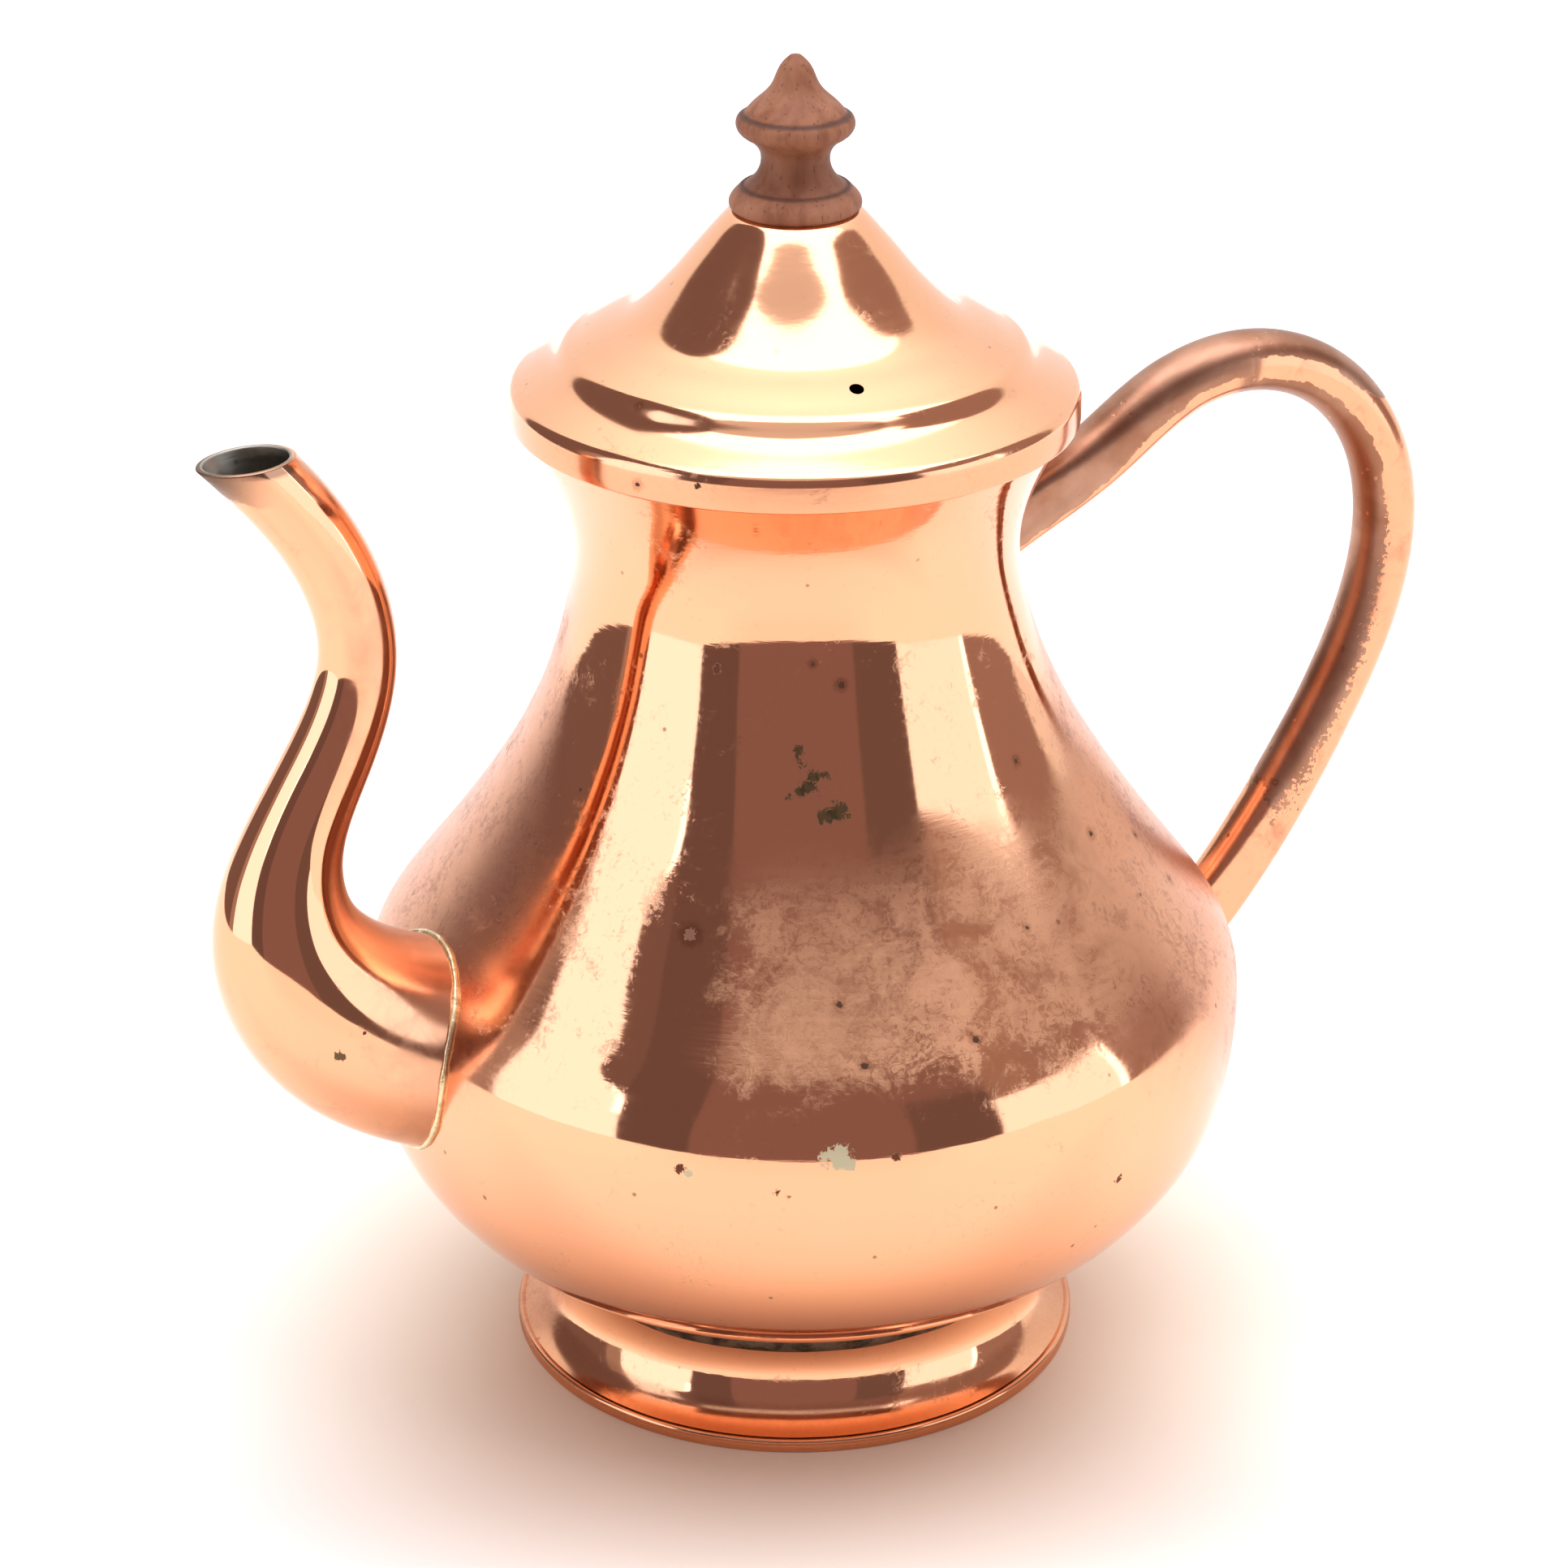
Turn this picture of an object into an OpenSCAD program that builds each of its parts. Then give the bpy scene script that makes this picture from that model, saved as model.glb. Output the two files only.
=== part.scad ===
// Copper coffee pot with a curved spout, a looped tube handle and a lift-off domed lid.
// Millimetres. +Z is up, the origin is the middle of the foot's resting face, the spout
// points along -X and the handle along +X. Sheet work is drawn by its outer face.

/* [Pot] */
// Widest radius of the belly
belly_r = 82; // [80:0.5:84]
// Radius of the neck where it is narrowest
neck_r = 40.4; // [39:0.2:41.4]
// Outer radius of the upright collar that the lid's skirt covers
collar_r = 49.3; // [48.9:0.1:49.4]
// Height of the pot's rim
rim_z = 189.9; // [189.3:0.1:190]
// Thickness of the copper sheet
sheet = 1; // [0.8:0.1:1.2]

/* [Foot] */
// Radius of the foot's resting edge
foot_r = 53.75; // [52.5:0.25:55]
// Height of the pot's floor above the table
floor_z = 17; // [16:0.5:18]

/* [Spout] */
// Radius of the root, where the spout leaves the belly
spout_root_r = 20.5; // [19.5:0.5:21]
// Radius of the tube near the mouth
spout_tip_r = 7; // [6.5:0.1:7.5]
// Height of the mouth
mouth_z = 191.5; // [190:0.5:193]
// Lean of the mouth, its inner side higher
mouth_lean = 3.5; // [0:0.5:6]
// Diameter of one strainer hole in the wall behind the spout
strainer_hole_d = 4; // [3:0.5:5]
// Distance between strainer holes
strainer_pitch = 6.5; // [6:0.25:6.75]

/* [Handle] */
// Radius of the handle's tube
handle_r = 6; // [5.5:0.1:6.5]
// Half the width of the handle where its ends are pressed flat
handle_end_w = 3.6; // [3:0.1:4.5]

/* [Lid] */
// Outer radius of the lid's skirt
skirt_r = 51; // [50.8:0.1:51.3]
// Height of the skirt's lower edge
skirt_z = 184.4; // [184:0.1:185]
// Height of the flat on top of the dome, where the finial sits
crown_z = 222.3; // [221.5:0.1:223]
// Diameter of the vent hole
vent_d = 2.6; // [2:0.1:3.5]

/* [Finial] */
// Height of the finial's tip
tip_z = 250; // [248:0.5:252]
// Diameter of the screw's shank
screw_d = 4; // [3:0.5:4]

/* [Hidden] */

copper = "#d98a5b";
solder = "#c8a060";
tin = "#a8a49a";
walnut = "#8a5238";
steel = "#9a9a9c";

turned = 96;         // facets of a turned shape in a preview
tube_sides = 24;     // sides of a swept tube
spans = 4;           // steps between two points of a smooth curve
cut = 60;            // half size of a block that trims
seam = 0.9;          // how far solder stands out from a seam

belly_z = 70;        // height of the widest ring
neck_z = 159;        // height of the narrowest ring
collar_z = 184.4;    // where the flare becomes the upright collar
floor_r = 36;        // where the flat floor starts to turn up

// Outer face of the pot from the floor's edge up to the rim, as [radius, height]
pot_points = [
    [floor_r - 6, floor_z], [floor_r, floor_z + 0.2], [belly_r - 36.4, 20.2], [belly_r - 22.8, 27],
    [belly_r - 12.1, 36], [belly_r - 4, 48], [belly_r - 0.8, 60], [belly_r, belly_z],
    [belly_r - 1.3, 79.5], [belly_r - 8.8, 92], [neck_r + 19.5, 110], [neck_r + 7.9, 130],
    [neck_r + 1.2, 150], [neck_r, neck_z], [neck_r + 1, 167], [neck_r + 3.8, 175],
    [collar_r - 1.7, collar_z - 2.9], [collar_r - 0.1, collar_z], [collar_r, collar_z + 1],
    [collar_r, rim_z]
];

// Outer face of the foot above its bead, as [radius, height]
cove_points = [[foot_r - 1.3, 2.5], [foot_r - 3.4, 3.7], [foot_r - 5.6, 5.7], [foot_r - 7.4, 8.7],
               [foot_r - 8.4, 12.4], [foot_r - 8.7, 16], [foot_r - 8.6, 20], [foot_r - 8.4, 24]];

// Middle of the spout, as [distance in front of the axis, height, radius]
spout_points = [
    [62, 71, spout_root_r], [82, 78, 18.8], [94.5, 89, 16.7], [100, 102.5, 13.4],
    [98, 118.5, 9.3], [90.5, 134, 7.7], [84.5, 151.5, spout_tip_r], [88.5, 171, spout_tip_r],
    [108, 197, spout_tip_r - 0.2]
];
mouth_x = 104;       // distance of the mouth in front of the axis

// Middle of the handle, as [distance behind the axis, height, half height, half width]
handle_points = [
    [29, 145.2, 7, handle_end_w], [49.3, 158.3, 6.4, handle_end_w + 0.4],
    [61.7, 166.4, 6.1, 4.9], [77.6, 177.2, handle_r, handle_r - 0.2],
    [93.2, 180.4, handle_r - 0.2, handle_r], [108.9, 175.5, handle_r - 0.3, handle_r],
    [121.6, 161.3, handle_r - 0.2, handle_r], [125.6, 141.4, handle_r, handle_r],
    [120.4, 119, handle_r, handle_r], [109, 96.4, 6.2, handle_r - 0.5],
    [97, 77.8, 6.4, 4.6], [89, 67.8, 6.7, handle_end_w + 0.2], [80.5, 60.2, 7, handle_end_w],
    [70, 54.5, 7, handle_end_w]
];
handle_root_stations = 3 * spans;   // stations that one end's solder runs round

strainer_z = 75;     // middle height of the strainer
strainer_r = 14;     // radius that the strainer's hole centres stay inside

// Outer face of the lid from the crown's edge down to the skirt, as [radius, height]
lid_points = [
    [9, crown_z], [11.4, crown_z - 0.1], [12.6, 221.3], [14.9, 218.9], [18.5, 214.8],
    [22.1, 210.5], [24.8, 207.6], [27.6, 204.9], [30.2, 202.8], [32.8, 201.2], [35.6, 200.1],
    [38.4, 199.2], [40.6, 198.5], [41.5, 197.8], [43.1, 195.7], [44.9, 194], [47.1, 192.6],
    [skirt_r - 2, 191.6], [skirt_r - 0.85, 190.8], [skirt_r - 0.2, 189.7], [skirt_r, 188.4],
    [skirt_r, skirt_z]
];
lid_gap = 0.35;      // play between the pot's rim and the lid's parts
vent_r = 35;         // distance of the vent hole from the axis
vent_z = 200.2;      // its height
vent_turn = -98;     // its direction round the axis
vent_tilt = 20;      // lean of the lid's wall there

bezel_r = collar_r - sheet - 2 * lid_gap;   // outer radius of the ring inside the lid
bezel_t = 0.8;       // its thickness
bezel_z = 183.6;     // its lower edge
bezel_top = 192.6;   // above the lid's inner face, where the lid trims it

// Outer face of the finial from its base up to its tip, as [radius, height]
base_points = [[10.9, crown_z], [11.6, crown_z + 0.7], [11.7, crown_z + 1.6], [10.9, crown_z + 3],
               [9.6, crown_z + 4.3]];
waist_points = [[9.2, crown_z + 4.2], [7.2, crown_z + 6], [6.1, crown_z + 8.6], [6.4, crown_z + 10.8],
                [8, crown_z + 12.7]];
ring_points = [[8.4, crown_z + 12.9], [9.9, crown_z + 14], [10.45, crown_z + 15.3], [9.9, crown_z + 16.8],
               [9.3, crown_z + 17.1]];
bell_points = [[9, crown_z + 17.3], [7.5, crown_z + 19], [5.4, crown_z + 20.9], [4.1, crown_z + 22.6],
               [3.3, crown_z + 24.5], [2.4, crown_z + 26.1], [1, tip_z - 0.2], [0, tip_z]];
screw_depth = 16;    // how far the screw goes into the finial
screw_head_r = 4;    // radius of its head
screw_head_h = 2.2;  // height of its head
screw_slot_w = 1;    // width of the slot across its head
screw_slot_h = 1.1;  // depth of that slot
washer_r = 7;        // radius of the washer under the head
washer_t = 0.8;      // its thickness

// ---- curves ----

function unit(v) = v / norm(v);

// Direction of a curve at its point i, weighted towards the nearer neighbour
function heading(p, i) =
    let (last = len(p) - 1,
         back = p[max(i, 1)] - p[max(i, 1) - 1],
         ahead = p[min(i, last - 1) + 1] - p[min(i, last - 1)])
    i == 0 ? ahead / norm(ahead)
    : i == last ? back / norm(back)
    : (back / norm(back) * norm(ahead) + ahead / norm(ahead) * norm(back)) / (norm(back) + norm(ahead));

// Cubic between points i and i + 1, at t from 0 to 1
function between(p, i, t) =
    let (length = norm(p[i + 1] - p[i]))
    (2 * t ^ 3 - 3 * t ^ 2 + 1) * p[i] + (t ^ 3 - 2 * t ^ 2 + t) * length * heading(p, i)
    + (3 * t ^ 2 - 2 * t ^ 3) * p[i + 1] + (t ^ 3 - t ^ 2) * length * heading(p, i + 1);

// Smooth curve through all the points
function smooth(p) = concat(
    [for (i = [0 : len(p) - 2], k = [0 : spans - 1]) between(p, i, k / spans)], [p[len(p) - 1]]);

function reversed(p) = [for (i = [len(p) - 1 : -1 : 0]) p[i]];

// Outline moved sideways by a distance, to the left of its direction
function beside(p, distance) = [
    for (i = [0 : len(p) - 1])
        let (along = unit(p[min(i + 1, len(p) - 1)] - p[max(i - 1, 0)]))
        p[i] + distance * [-along[1], along[0]]
];

pot_outer = smooth(pot_points);
pot_inner = beside(pot_outer, sheet);
cove_outer = smooth(cove_points);
cove_inner = beside(cove_outer, sheet);
lid_outer = smooth(lid_points);
lid_inner = beside(lid_outer, -sheet);
spout_path = [for (p = smooth(spout_points)) [-p[0], p[1], p[2], p[2]]];
handle_path = smooth(handle_points);

function part_of(list, first, count) = [for (i = [first : first + count - 1]) list[i]];

// ---- shared shapes ----

// Solid tube along stations of [x, z, half height, half width] in the XZ plane
module sweep(path, grow = 0) {
    last = len(path) - 1;
    points = [
        for (i = [0 : last], k = [0 : tube_sides - 1])
            let (here = path[i], from = path[max(i - 1, 0)], to = path[min(i + 1, last)],
                 along = unit([to[0] - from[0], to[1] - from[1]]),
                 turn = 360 * k / tube_sides,
                 up = (here[2] + grow) * cos(turn))
            [here[0] - up * along[1], (here[3] + grow) * sin(turn), here[1] + up * along[0]]
    ];
    walls = [
        for (i = [0 : last - 1], k = [0 : tube_sides - 1])
            let (a = i * tube_sides + k, b = i * tube_sides + (k + 1) % tube_sides)
            each [[a, b, b + tube_sides], [a, b + tube_sides, a + tube_sides]]
    ];
    ends = [[for (k = [tube_sides - 1 : -1 : 0]) k],
            [for (k = [0 : tube_sides - 1]) last * tube_sides + k]];
    polyhedron(points, concat(ends, walls));
}

// The whole space inside the pot's outer face, grown by a distance
module pot_envelope(grow = 0) {
    skin = grow == 0 ? pot_outer : beside(pot_outer, -grow);
    rotate_extrude($fn = turned)
        polygon(concat([[0, skin[0][1]]], skin, [[0, rim_z]]));
}

module ring(inner, outer, bottom, top) {
    difference() {
        translate([0, 0, bottom]) cylinder(r = outer, h = top - bottom, $fn = turned);
        translate([0, 0, bottom - 1]) cylinder(r = inner, h = top - bottom + 2, $fn = turned);
    }
}

// Solder round a tube where it meets the pot's outer face
module root_solder(path) {
    difference() {
        intersection() {
            sweep(path, seam);
            pot_envelope(seam);
        }
        pot_envelope();
        sweep(path);
    }
}

// ---- pot ----

// Holes through the wall behind the spout, in rings round a middle one
module strainer_holes() {
    row_h = strainer_pitch * sin(60);
    for (row = [-3 : 3], column = [-3 : 3]) {
        y = (column + (row % 2 == 0 ? 0 : 0.5)) * strainer_pitch;
        z = row * row_h;
        if (norm([y, z]) < strainer_r)
            translate([-belly_r - 2, y, strainer_z + z])
                rotate([0, 90, 0]) cylinder(d = strainer_hole_d, h = 20, $fn = 32);
    }
}

module body_shell() {
    color(copper) difference() {
        rotate_extrude($fn = turned)
            polygon(concat([[0, floor_z]], pot_outer, reversed(pot_inner), [[0, floor_z + sheet]]));
        strainer_holes();
    }
}

// Coved ring with a small bead and an upright resting edge
module foot_ring() {
    bead_r = 0.8;
    edge_h = 1.1;
    bead = [for (a = [-30 : 15 : 90]) [foot_r - bead_r + bead_r * cos(a), 1.8 + bead_r * sin(a)]];
    color(copper) difference() {
        rotate_extrude($fn = turned)
            polygon(concat([[foot_r - 2, 0], [foot_r, 0], [foot_r, edge_h]], bead, cove_outer,
                           reversed(cove_inner), [[foot_r - 2, edge_h]]));
        pot_envelope();
    }
}

// Soft solder in the corner between the foot and the pot's underside
module foot_solder() {
    inner = foot_r - 9.4;
    outer = foot_r - 6.4;
    color(solder) difference() {
        rotate_extrude($fn = turned)
            polygon([[inner, 17.2], [foot_r - 8.6, 17.2], [outer, 20.6], [outer, 24], [inner, 24]]);
        pot_envelope();
        rotate_extrude($fn = turned) polygon(concat(cove_outer, [[inner - 2, 24], [inner - 2, 2.5]]));
    }
}

// Everything above the plane that the spout's mouth is cut on
module above_mouth() {
    translate([-mouth_x, 0, mouth_z]) rotate([0, -mouth_lean, 0])
        translate([-cut, -cut, 0]) cube([2 * cut, 2 * cut, cut]);
}

module spout() {
    color(copper) difference() {
        sweep(spout_path);
        sweep(spout_path, -sheet);
        pot_envelope();
        above_mouth();
    }
}

module spout_solder() {
    color(solder) root_solder(part_of(spout_path, 0, 2 * spans));
}

module handle() {
    color(copper) difference() {
        sweep(handle_path);
        sweep(part_of(handle_path, 1, len(handle_path) - 2), -sheet);
        pot_envelope();
    }
}

module handle_upper_solder() {
    color(solder) root_solder(part_of(handle_path, 0, handle_root_stations));
}

module handle_lower_solder() {
    color(solder) root_solder(
        part_of(handle_path, len(handle_path) - handle_root_stations, handle_root_stations));
}

// ---- lid ----

module lid_shell() {
    color(copper) difference() {
        rotate_extrude($fn = turned)
            polygon(concat([[0, crown_z]], lid_outer, reversed(lid_inner), [[0, crown_z - sheet]]));
        translate([0, 0, crown_z - 5]) cylinder(d = screw_d, h = 10, $fn = 32);
        rotate([0, 0, vent_turn]) translate([vent_r, 0, vent_z]) rotate([0, vent_tilt, 0])
            cylinder(d = vent_d, h = 6, center = true, $fn = 32);
    }
}

// Space under the lid's inner face, wide enough to take the bezel
module under_lid() {
    rotate_extrude($fn = turned)
        polygon(concat([[0, crown_z - sheet]], lid_inner, [[0, skirt_z]]));
}

module bezel_blank() {
    ring(bezel_r - bezel_t, bezel_r, bezel_z, bezel_top);
}

module lid_bezel() {
    color(tin) intersection() {
        bezel_blank();
        union() {
            under_lid();
            translate([0, 0, bezel_z - 1]) cylinder(r = bezel_r + 1, h = 4, $fn = turned);
        }
    }
}

// Fillet inside the bezel where it meets the lid
module lid_bezel_solder() {
    inner = bezel_r - bezel_t;
    color(solder) intersection() {
        rotate_extrude($fn = turned)
            polygon([[inner, 189.4], [inner, 196], [inner - 3, 196], [inner - 1.6, 191]]);
        under_lid();
    }
}

// ---- finial ----

module finial() {
    color(walnut) difference() {
        rotate_extrude($fn = turned)
            polygon(concat([[0, crown_z]], smooth(base_points), smooth(waist_points),
                           smooth(ring_points), smooth(bell_points)));
        translate([0, 0, crown_z - 1]) cylinder(d = screw_d, h = screw_depth + 1, $fn = 32);
    }
}

module finial_screw() {
    under = crown_z - sheet - washer_t;
    color(steel) {
        translate([0, 0, under]) cylinder(d = screw_d, h = crown_z + screw_depth - under, $fn = 32);
        difference() {
            translate([0, 0, under - screw_head_h])
                cylinder(r1 = screw_head_r * 0.7, r2 = screw_head_r, h = screw_head_h, $fn = 48);
            translate([-screw_head_r, -screw_slot_w / 2, under - screw_head_h - 1])
                cube([2 * screw_head_r, screw_slot_w, screw_slot_h + 1]);
        }
    }
}

module finial_washer() {
    color(steel) ring(screw_d / 2, washer_r, crown_z - sheet - washer_t, crown_z - sheet);
}

body_shell();
foot_ring();
foot_solder();
spout();
spout_solder();
handle();
handle_upper_solder();
handle_lower_solder();
lid_shell();
lid_bezel();
lid_bezel_solder();
finial();
finial_screw();
finial_washer();
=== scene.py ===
import math

import bmesh
import bpy
import numpy as np
from mathutils import Matrix, Vector


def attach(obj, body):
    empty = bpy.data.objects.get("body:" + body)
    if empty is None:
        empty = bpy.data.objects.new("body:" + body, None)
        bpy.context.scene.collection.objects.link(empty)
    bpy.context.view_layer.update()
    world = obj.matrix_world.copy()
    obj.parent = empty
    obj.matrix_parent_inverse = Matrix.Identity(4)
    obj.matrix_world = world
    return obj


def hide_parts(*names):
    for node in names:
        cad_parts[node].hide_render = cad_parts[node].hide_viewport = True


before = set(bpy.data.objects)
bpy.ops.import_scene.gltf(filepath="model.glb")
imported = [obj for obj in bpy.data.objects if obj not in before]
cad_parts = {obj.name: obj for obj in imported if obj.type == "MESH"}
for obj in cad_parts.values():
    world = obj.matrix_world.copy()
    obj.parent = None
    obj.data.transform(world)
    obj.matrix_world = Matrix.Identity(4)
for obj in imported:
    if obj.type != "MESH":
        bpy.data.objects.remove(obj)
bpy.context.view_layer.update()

MM = 0.001
PHOTO_TURN = 25.13        # degrees from the pot's own plane to the camera's
LEAN_TO = np.array([math.cos(math.radians(PHOTO_TURN)), -math.sin(math.radians(PHOTO_TURN))])
TURNED = 288              # segments of a turned piece
POT, LID = "pot", "lid"


# ---- curves ----

def natural(points, per=8):
    """C2 curve through the points, as an array with `per` steps between two points."""
    p = np.array(points, float)
    h = np.maximum(np.linalg.norm(np.diff(p[:, :2], axis=0), axis=1), 1e-6)
    t = np.concatenate([[0], np.cumsum(h)])
    n = len(p)
    a = np.zeros((n, n))
    b = np.zeros((n, p.shape[1]))
    a[0, 0] = a[-1, -1] = 1
    for i in range(1, n - 1):
        a[i, i - 1:i + 2] = [h[i - 1], 2 * (h[i - 1] + h[i]), h[i]]
        b[i] = 6 * ((p[i + 1] - p[i]) / h[i] - (p[i] - p[i - 1]) / h[i - 1])
    m = np.linalg.solve(a, b)
    out = []
    for i in range(n - 1):
        for k in range(per):
            x = h[i] * k / per
            y = h[i] - x
            out.append(m[i] * y ** 3 / (6 * h[i]) + m[i + 1] * x ** 3 / (6 * h[i])
                       + (p[i] / h[i] - m[i] * h[i] / 6) * y + (p[i + 1] / h[i] - m[i + 1] * h[i] / 6) * x)
    out.append(p[-1])
    return np.array(out)


def beside(curve, distance):
    """The [r, z] curve moved to the left of its direction."""
    d = np.gradient(curve, axis=0)
    d /= np.maximum(np.linalg.norm(d, axis=1, keepdims=True), 1e-9)
    return curve + distance * np.stack([-d[:, 1], d[:, 0]], 1)


def arc(r, z, radius, start, end, steps):
    a = np.radians(np.linspace(start, end, steps + 1))
    return np.stack([r + radius * np.cos(a), z + radius * np.sin(a)], 1)


def join(*parts):
    return np.concatenate([np.array(p, float).reshape(-1, 2) for p in parts])


# ---- meshes ----

def mesh_object(name, verts, faces, materials, slots=None, sharp=None):
    me = bpy.data.meshes.new(name)
    me.from_pydata([tuple(v) for v in np.asarray(verts) * MM], [], faces)
    for m in materials:
        me.materials.append(m)
    if slots is not None:
        me.polygons.foreach_set("material_index", slots)
    me.validate()
    me.update()
    ob = bpy.data.objects.new(name, me)
    bpy.context.scene.collection.objects.link(ob)
    bm = bmesh.new()
    bm.from_mesh(me)
    bmesh.ops.recalc_face_normals(bm, faces=bm.faces)
    bm.to_mesh(me)
    bm.free()
    me.shade_smooth()
    if sharp:
        me.set_sharp_from_angle(angle=math.radians(sharp))
    return ob


LEANS = natural([[0, 0.05], [20, 0.15], [35, 0.7], [45, 1.0], [70, 1.3], [101, 1.5], [119, 1.38], [131, 1.0],
                 [145, 0.5], [160, 0.2], [180, 0], [200, 0]], 8)


def lean(z):
    """How far the hand-raised pot stands off its axis at a height, in mm along LEAN_TO."""
    return np.interp(z, LEANS[:, 0], LEANS[:, 1])


def revolve(name, profile, materials, inner_from=None, closed=False, sharp=None, wobble=0.0, leans=False):
    """Turns a profile of [r, z] in mm about Z. Faces from step inner_from on take the second material."""
    profile = np.array(profile, float)
    rng = np.random.default_rng(7)
    phase = rng.uniform(0, 6.28, 6)
    turn = np.arange(TURNED) / TURNED * 2 * math.pi
    verts, rows = [], []
    for r, z in profile:
        off = lean(z) * LEAN_TO if leans else np.zeros(2)
        if r < 1e-6:
            rows.append([len(verts)] * TURNED)
            verts.append((off[0], off[1], z))
            continue
        rr = r + wobble * sum(np.sin((k + 2) * turn * 3 + phase[k]) for k in range(6)) / 6
        rows.append(list(range(len(verts), len(verts) + TURNED)))
        verts += list(zip(off[0] + rr * np.cos(turn), off[1] + rr * np.sin(turn), np.full(TURNED, z)))
    faces, slots = [], []
    pairs = list(range(len(rows) - 1)) + ([len(rows) - 1] if closed else [])
    for i in pairs:
        lo, hi = rows[i], rows[(i + 1) % len(rows)]
        for k in range(TURNED):
            n = (k + 1) % TURNED
            f = [lo[k], lo[n], hi[n], hi[k]]
            f = list(dict.fromkeys(f))
            if len(f) > 2:
                faces.append(f)
                slots.append(1 if inner_from is not None and i >= inner_from else 0)
    return mesh_object(name, verts, faces, materials, slots, sharp)


def drill(ob, places, radius, depth, direction):
    """Cuts round holes through a piece. Places in mm."""
    bm = bmesh.new()
    turn = Vector(direction).to_track_quat("Z", "Y").to_matrix().to_4x4()
    for p in places:
        bmesh.ops.create_cone(bm, cap_ends=True, segments=24, radius1=radius * MM, radius2=radius * MM,
                              depth=depth * MM, matrix=Matrix.Translation(Vector(p) * MM) @ turn)
    me = bpy.data.meshes.new("drill")
    bm.to_mesh(me)
    bm.free()
    me.materials.append(ob.data.materials[0])
    tool = bpy.data.objects.new("drill", me)
    bpy.context.scene.collection.objects.link(tool)
    mod = ob.modifiers.new("drill", "BOOLEAN")
    mod.operation, mod.solver, mod.object = "DIFFERENCE", "EXACT", tool
    bpy.context.view_layer.update()
    done = bpy.data.meshes.new_from_object(ob.evaluated_get(bpy.context.evaluated_depsgraph_get()))
    ob.modifiers.clear()
    ob.data = done
    bpy.data.objects.remove(tool)
    ob.data.shade_smooth()
    ob.data.set_sharp_from_angle(angle=math.radians(40))


# ---- node helpers ----

class Tree:
    """Short names for the shader nodes that the materials are made of."""

    def __init__(self, tree):
        self.tree = tree
        tree.nodes.clear()

    def node(self, kind, inputs=None, **props):
        n = self.tree.nodes.new(kind)
        for k, v in props.items():
            setattr(n, k, v)
        for k, v in (inputs or {}).items():
            self.put(n.inputs[k], v)
        return n

    def put(self, socket, value):
        if isinstance(value, bpy.types.NodeSocket):
            self.tree.links.new(value, socket)
        elif value is not None:
            if isinstance(value, (tuple, list)) and len(value) == 3 and socket.type == "RGBA":
                value = (*value, 1)
            socket.default_value = value

    def math(self, op, *values, clamp=False):
        n = self.node("ShaderNodeMath", operation=op, use_clamp=clamp)
        for s, v in zip(n.inputs, values):
            self.put(s, v)
        return n.outputs[0]

    def add(self, a, b):
        return self.math("ADD", a, b)

    def mul(self, a, b):
        return self.math("MULTIPLY", a, b)

    def vmath(self, op, *values):
        n = self.node("ShaderNodeVectorMath", operation=op)
        for s, v in zip(n.inputs, values):
            self.put(s, v)
        return n.outputs["Value"] if op in ("DISTANCE", "LENGTH", "DOT_PRODUCT") else n.outputs[0]

    def step(self, value, lo, hi, to_lo=0.0, to_hi=1.0):
        n = self.node("ShaderNodeMapRange", {0: value, 1: lo, 2: hi, 3: to_lo, 4: to_hi},
                      interpolation_type="SMOOTHSTEP")
        return n.outputs[0]

    def step_linear(self, value, lo, hi):
        return self.node("ShaderNodeMapRange", {0: value, 1: lo, 2: hi, 3: 0.0, 4: 1.0}).outputs[0]

    def band(self, value, lo, hi, soft):
        """1 between lo and hi, falling to 0 over soft."""
        return self.mul(self.step(value, lo - soft / 2, lo + soft / 2),
                        self.step(value, hi - soft / 2, hi + soft / 2, 1.0, 0.0))

    def mix(self, factor, a, b):
        n = self.node("ShaderNodeMix", data_type="RGBA", clamp_factor=True)
        self.put(n.inputs["Factor"], factor)
        self.put(n.inputs[6], a)
        self.put(n.inputs[7], b)
        return n.outputs[2]

    def blend(self, factor, a, b):
        n = self.node("ShaderNodeMix", data_type="FLOAT", clamp_factor=True)
        self.put(n.inputs["Factor"], factor)
        self.put(n.inputs[2], a)
        self.put(n.inputs[3], b)
        return n.outputs[0]

    def noise(self, where, scale, detail=4.0, rough=0.55, distortion=0.0):
        return self.node("ShaderNodeTexNoise", {"Vector": where, "Scale": scale, "Detail": detail,
                                                "Roughness": rough, "Distortion": distortion}).outputs[0]

    def spots(self, where, scale, size, soft):
        """Small round flecks, 1 inside."""
        n = self.node("ShaderNodeTexVoronoi", {"Vector": where, "Scale": scale}, feature="F1")
        return self.step(n.outputs["Distance"], size, size + soft, 1.0, 0.0)

    def stretch(self, where, scale):
        return self.vmath("MULTIPLY", where, scale)

    def bump(self, height, distance):
        return self.node("ShaderNodeBump", {"Height": height, "Strength": 1.0, "Distance": distance}).outputs[0]


def material(name):
    m = bpy.data.materials.new(name)
    m.use_nodes = True
    t = Tree(m.node_tree)
    where = t.node("ShaderNodeTexCoord").outputs["Object"]
    return m, t, where


def finish_material(t, color, roughness, normal, metallic=1.0, **uniform):
    shader = t.node("ShaderNodeBsdfPrincipled")
    t.put(shader.inputs["Base Color"], color)
    t.put(shader.inputs["Roughness"], roughness)
    t.put(shader.inputs["Metallic"], metallic)
    t.put(shader.inputs["Normal"], normal)
    for key, value in uniform.items():
        shader.inputs[key.replace("_", " ")].default_value = value
    out = t.node("ShaderNodeOutputMaterial")
    t.tree.links.new(shader.outputs[0], out.inputs[0])


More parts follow.
